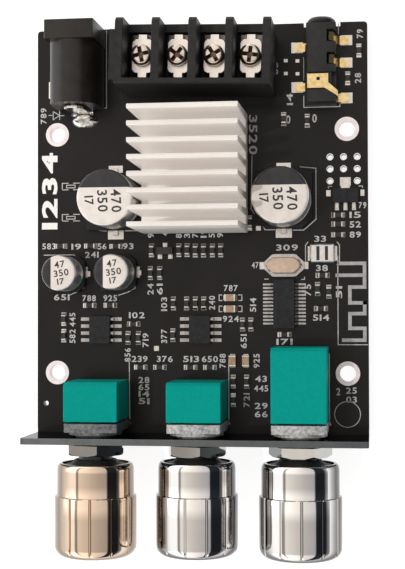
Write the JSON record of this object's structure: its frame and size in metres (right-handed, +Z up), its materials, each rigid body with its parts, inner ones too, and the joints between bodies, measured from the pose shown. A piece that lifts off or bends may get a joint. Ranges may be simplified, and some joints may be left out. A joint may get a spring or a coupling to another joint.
{
  "type": "audio amplifier circuit board",
  "caption": "Circuit board of a stereo audio amplifier with a finned heatsink, screw terminals, power inlet, audio socket and rotary controls behind knobs on a front panel.",
  "frame": {"origin": "centre of the circuit board's underside", "axes": "+X to the right along the front panel seen from the front with the parts up, +Y from the knobs towards the terminals, +Z up off the component side"},
  "size_m": [0.06, 0.0942, 0.022],
  "materials": {
    "solder_mask": "satin",
    "bare_aluminium": "satin",
    "thermal_compound": "matte",
    "chip_epoxy": "matte",
    "black_plastic": "satin",
    "tinned": "satin",
    "gold": "satin",
    "can_aluminium": "satin",
    "crystal_can": "satin",
    "green_plastic": "satin",
    "zinc": "satin",
    "chrome": "polished",
    "panel_metal": "gloss",
    "shaft_metal": "satin"
  },
  "bodies": {
    "board": {"circuit_board": "solder_mask", "heatsink": "bare_aluminium", "thermal_pad": "thermal_compound", "amplifier_chip": "chip_epoxy", "dc_inlet_housing": "black_plastic", "dc_inlet_pin": "tinned", "dc_inlet_sleeve_spring": "tinned", "dc_inlet_switch_contact": "tinned", "terminal_housing": "black_plastic", "terminal_contact_1": "tinned", "terminal_contact_2": "tinned", "terminal_contact_3": "tinned", "terminal_contact_4": "tinned", "audio_socket_housing": "black_plastic", "audio_socket_ground": "gold", "audio_socket_switch": "gold", "audio_socket_ring": "gold", "audio_socket_sleeve": "gold", "audio_socket_tip": "gold", "bulk_capacitor_left_can": "can_aluminium", "bulk_capacitor_left_base": "black_plastic", "bulk_capacitor_right_can": "can_aluminium", "bulk_capacitor_right_base": "black_plastic", "small_capacitor_left_can": "can_aluminium", "small_capacitor_left_base": "black_plastic", "small_capacitor_right_can": "can_aluminium", "small_capacitor_right_base": "black_plastic", "crystal": "crystal_can", "wireless_chip": "chip_epoxy", "preamp_chip_left": "chip_epoxy", "preamp_chip_right": "chip_epoxy", "regulator": "chip_epoxy", "wireless_module_filter": "tinned", "pot_housing_1": "green_plastic", "pot_frame_1": "zinc", "pot_nut_1": "zinc", "pot_housing_2": "green_plastic", "pot_frame_2": "zinc", "pot_nut_2": "zinc", "pot_housing_3": "green_plastic", "pot_frame_3": "zinc", "pot_nut_3": "zinc", "front_panel": "panel_metal"},
    "knob_assembly_1": {"knob_1": "chrome", "knob_core_1": "black_plastic", "pot_shaft_1": "shaft_metal"},
    "knob_assembly_2": {"knob_2": "chrome", "knob_core_2": "black_plastic", "pot_shaft_2": "shaft_metal"},
    "knob_assembly_3": {"knob_3": "chrome", "knob_core_3": "black_plastic", "pot_shaft_3": "shaft_metal"},
    "clamp_1": {"terminal_clamp_1": "tinned"},
    "screw_1": {"terminal_screw_1": "tinned"},
    "clamp_2": {"terminal_clamp_2": "tinned"},
    "screw_2": {"terminal_screw_2": "tinned"},
    "clamp_3": {"terminal_clamp_3": "tinned"},
    "screw_3": {"terminal_screw_3": "tinned"},
    "clamp_4": {"terminal_clamp_4": "tinned"},
    "screw_4": {"terminal_screw_4": "tinned"}
  },
  "joints": [
    {"name": "knob_turn_1", "type": "hinge", "parent": "board", "child": "knob_assembly_1", "pos_m": [-0.0178, -0.045, 0.0081], "axis": [0, 1, 0], "range_deg": [-150, 150]},
    {"name": "knob_turn_2", "type": "hinge", "parent": "board", "child": "knob_assembly_2", "pos_m": [0.0002, -0.045, 0.0081], "axis": [0, 1, 0], "range_deg": [-150, 150]},
    {"name": "knob_turn_3", "type": "hinge", "parent": "board", "child": "knob_assembly_3", "pos_m": [0.0182, -0.045, 0.0081], "axis": [0, 1, 0], "range_deg": [0, 300]},
    {"name": "clamp_lift_1", "type": "slide", "parent": "board", "child": "clamp_1", "axis": [0, 0, 1], "range_m": [0, 0.002]},
    {"name": "screw_turn_1", "type": "hinge", "parent": "clamp_1", "child": "screw_1", "pos_m": [-0.00906, 0.02977, 0.0106], "axis": [0, 0, 1], "range_deg": [0, 1440]},
    {"name": "clamp_lift_2", "type": "slide", "parent": "board", "child": "clamp_2", "axis": [0, 0, 1], "range_m": [0, 0.002]},
    {"name": "screw_turn_2", "type": "hinge", "parent": "clamp_2", "child": "screw_2", "pos_m": [-0.00271, 0.02959, 0.0106], "axis": [0, 0, 1], "range_deg": [0, 1440]},
    {"name": "clamp_lift_3", "type": "slide", "parent": "board", "child": "clamp_3", "axis": [0, 0, 1], "range_m": [0, 0.002]},
    {"name": "screw_turn_3", "type": "hinge", "parent": "clamp_3", "child": "screw_3", "pos_m": [0.00364, 0.02941, 0.0106], "axis": [0, 0, 1], "range_deg": [0, 1440]},
    {"name": "clamp_lift_4", "type": "slide", "parent": "board", "child": "clamp_4", "axis": [0, 0, 1], "range_m": [0, 0.002]},
    {"name": "screw_turn_4", "type": "hinge", "parent": "clamp_4", "child": "screw_4", "pos_m": [0.00998, 0.02923, 0.0106], "axis": [0, 0, 1], "range_deg": [0, 1440]}
  ],
  "couplings": [
    {"joint": "screw_turn_1", "follows": "clamp_lift_1", "rad_per_m": 12566},
    {"joint": "screw_turn_2", "follows": "clamp_lift_2", "rad_per_m": 12566},
    {"joint": "screw_turn_3", "follows": "clamp_lift_3", "rad_per_m": 12566},
    {"joint": "screw_turn_4", "follows": "clamp_lift_4", "rad_per_m": 12566}
  ]
}
